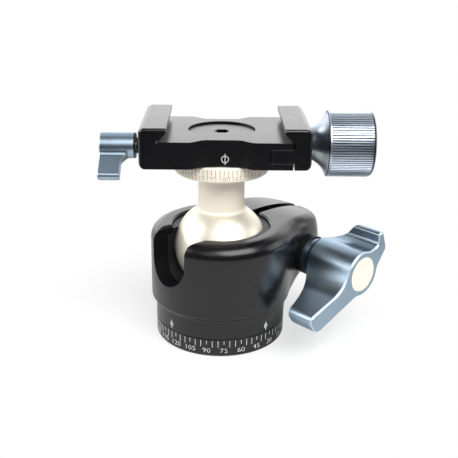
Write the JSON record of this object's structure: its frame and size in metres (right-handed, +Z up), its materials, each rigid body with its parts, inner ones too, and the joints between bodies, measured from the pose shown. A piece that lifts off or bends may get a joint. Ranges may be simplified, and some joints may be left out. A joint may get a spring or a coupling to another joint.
{
  "type": "tripod ball head",
  "caption": "Low-profile tripod ball head with a lug-clamped ball, drop notch, winged lock knob, panning base and a panning screw-knob dovetail clamp.",
  "frame": {"origin": "centre of the base's underside, on the axis of the tripod thread", "axes": "+Z up along the pan axis; +X the way the clamp's moving jaw opens, towards its knob; a camera plate slides through the clamp along Y"},
  "size_m": [0.0878, 0.0571, 0.0715],
  "materials": {
    "base_ring": "satin black anodised, white scale",
    "thread_bush": "turned",
    "pan_bearing": "acetal, satin",
    "retainer_plate": "turned",
    "retainer_screws": "blackened",
    "housing": "satin black anodised",
    "housing_floor": "turned",
    "seat_spring": "spring steel",
    "ball_seat": "acetal, satin",
    "socket_liner": "black acetal, satin",
    "lock_washer": "black acetal",
    "lock_collar": "satin blue-grey anodised",
    "lock_knob": "satin blue-grey anodised, bright chamfers",
    "lock_bolt": "stainless",
    "lock_inlay": "white, bare",
    "pan_lock_pad": "turned",
    "pan_lock_screw": "stainless",
    "pan_lock_knob": "satin blue-grey anodised",
    "ball_stem": "satin champagne anodised",
    "pan_flange": "satin champagne anodised, engraved scale",
    "flange_dowel": "ground",
    "pan_screw": "satin black anodised, turned face",
    "clamp_bearing": "acetal, satin",
    "clamp_body": "satin black anodised",
    "moving_jaw": "satin black anodised",
    "guide_pins": "ground",
    "jaw_springs": "spring wire",
    "clamp_washer": "black acetal",
    "clamp_screw": "stainless",
    "clamp_knob": "blue-grey anodised, knurled",
    "clamp_knob_cap": "satin blue-grey anodised",
    "clamp_lock_pad": "turned",
    "clamp_lock_screw": "stainless",
    "clamp_lock_spacer": "black acetal",
    "clamp_lock_ring": "black",
    "clamp_lock_knob": "satin blue-grey anodised, bright chamfers"
  },
  "bodies": {
    "base": {"base_ring": "base_ring", "thread_bush": "thread_bush", "pan_bearing": "pan_bearing", "retainer_plate": "retainer_plate", "retainer_screws": "retainer_screws"},
    "housing": {"housing": "housing", "housing_floor": "housing_floor", "seat_spring": "seat_spring", "ball_seat": "ball_seat", "socket_liner": "socket_liner"},
    "pan_lock_pad": {"pan_lock_pad": "pan_lock_pad"},
    "pan_lock_knob": {"pan_lock_knob": "pan_lock_knob", "pan_lock_screw": "pan_lock_screw"},
    "lock_collar": {"lock_collar": "lock_collar", "lock_washer": "lock_washer"},
    "lock_knob": {"lock_knob": "lock_knob", "lock_bolt": "lock_bolt", "lock_inlay": "lock_inlay"},
    "ball": {"ball_stem": "ball_stem", "pan_flange": "pan_flange", "flange_dowel": "flange_dowel", "pan_screw": "pan_screw", "clamp_bearing": "clamp_bearing"},
    "clamp": {"clamp_body": "clamp_body", "clamp_lock_spacer": "clamp_lock_spacer"},
    "clamp_lock_pad": {"clamp_lock_pad": "clamp_lock_pad"},
    "clamp_lock_knob": {"clamp_lock_knob": "clamp_lock_knob", "clamp_lock_screw": "clamp_lock_screw", "clamp_lock_ring": "clamp_lock_ring"},
    "moving_jaw": {"moving_jaw": "moving_jaw", "guide_pins": "guide_pins", "clamp_washer": "clamp_washer", "jaw_springs": "jaw_springs"},
    "clamp_knob": {"clamp_knob": "clamp_knob", "clamp_screw": "clamp_screw", "clamp_knob_cap": "clamp_knob_cap"}
  },
  "joints": [
    {"name": "base_pan", "type": "hinge", "parent": "base", "child": "housing", "pos_m": [0, 0, 0.006], "axis": [0, 0, 1], "continuous": true},
    {"name": "pan_lock_travel", "type": "slide", "parent": "housing", "child": "pan_lock_pad", "axis": [-0.2588, 0.9659, 0], "range_m": [0, 0.0005]},
    {"name": "pan_lock_turn", "type": "hinge", "parent": "pan_lock_pad", "child": "pan_lock_knob", "pos_m": [-0.00518, 0.01932, 0.0085], "axis": [-0.2588, 0.9659, 0], "range_deg": [0, 360]},
    {"name": "lock_travel", "type": "slide", "parent": "housing", "child": "lock_collar", "axis": [0.682, -0.7314, 0], "range_m": [0, 0.00075]},
    {"name": "lock_turn", "type": "hinge", "parent": "lock_collar", "child": "lock_knob", "pos_m": [0.01828, 0.01705, 0.0231], "axis": [0.682, -0.7314, 0], "range_deg": [0, 270]},
    {"name": "ball_tilt", "type": "hinge", "parent": "housing", "child": "ball", "pos_m": [0, 0, 0.02866], "axis": [0.6428, -0.766, 0], "range_deg": [-30, 90]},
    {"name": "clamp_pan", "type": "hinge", "parent": "ball", "child": "clamp", "pos_m": [0, 0, 0.058], "axis": [0, 0, 1], "continuous": true},
    {"name": "clamp_lock_travel", "type": "slide", "parent": "clamp", "child": "clamp_lock_pad", "axis": [-1, 0, 0], "range_m": [0, 0.0007]},
    {"name": "clamp_lock_turn", "type": "hinge", "parent": "clamp_lock_pad", "child": "clamp_lock_knob", "pos_m": [-0.03, 0, 0.0605], "axis": [-1, 0, 0], "range_deg": [0, 360]},
    {"name": "jaw_travel", "type": "slide", "parent": "clamp", "child": "moving_jaw", "axis": [1, 0, 0], "range_m": [0, 0.005], "deforming": ["jaw_springs"]},
    {"name": "clamp_knob_turn", "type": "hinge", "parent": "moving_jaw", "child": "clamp_knob", "pos_m": [0.04, 0, 0.0616], "axis": [1, 0, 0], "range_deg": [0, 1800]}
  ],
  "couplings": [
    {"joint": "pan_lock_turn", "follows": "pan_lock_travel", "rad_per_m": 12566},
    {"joint": "lock_turn", "follows": "lock_travel", "rad_per_m": 6283.1},
    {"joint": "clamp_lock_turn", "follows": "clamp_lock_travel", "rad_per_m": 8975.9},
    {"joint": "clamp_knob_turn", "follows": "jaw_travel", "rad_per_m": 6283.1}
  ]
}
